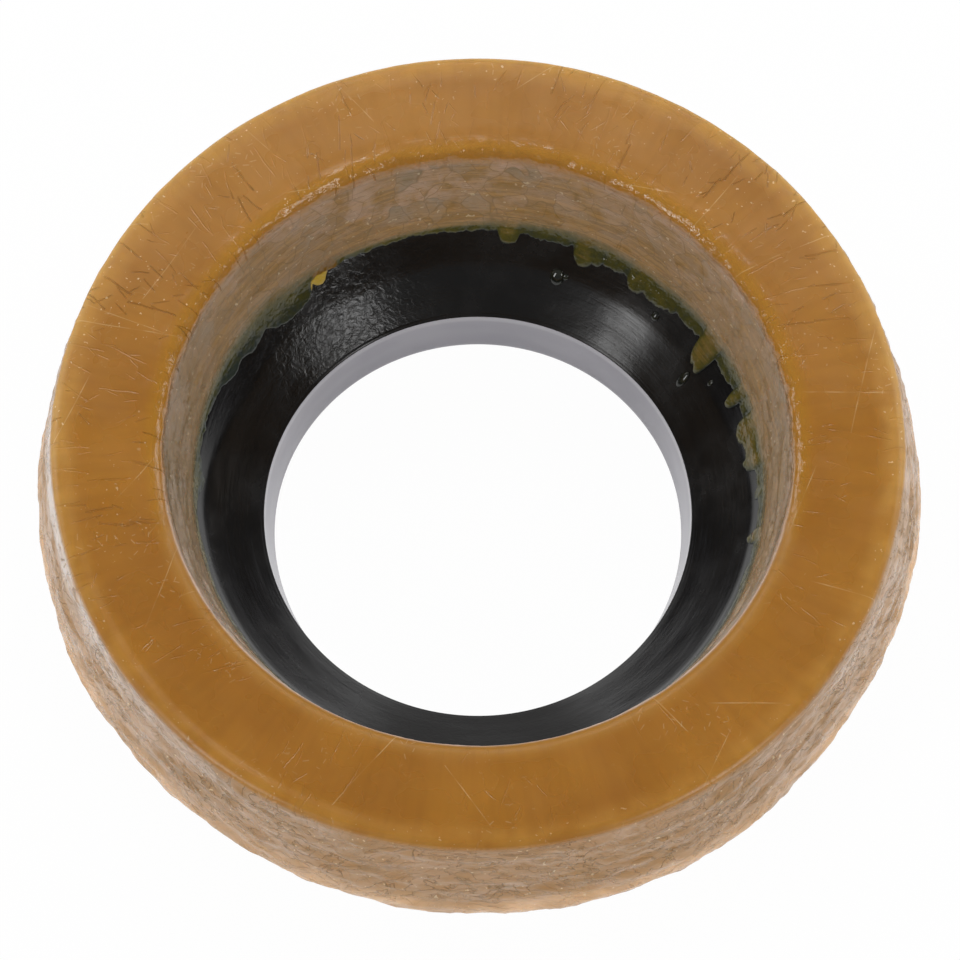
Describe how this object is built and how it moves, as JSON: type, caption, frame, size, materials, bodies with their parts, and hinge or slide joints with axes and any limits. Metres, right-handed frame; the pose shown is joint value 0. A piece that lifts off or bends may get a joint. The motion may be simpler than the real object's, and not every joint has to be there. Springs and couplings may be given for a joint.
{
  "type": "toilet pan seal",
  "caption": "Ring of wax with a black plastic funnel cast into it, which seals a toilet pan's outlet to the drain.",
  "frame": {"origin": "centre of the horn's lower rim, on which the seal stands", "axes": "+Z along the axis of the waste way, from the drain up to the pan; the wax face that meets the pan looks along +Z"},
  "size_m": [0.1368, 0.1368, 0.038],
  "materials": {
    "wax": "satin",
    "black_plastic": "gloss"
  },
  "bodies": {
    "root": {"horn": "black_plastic", "wax_ring": "wax"}
  },
  "joints": []
}
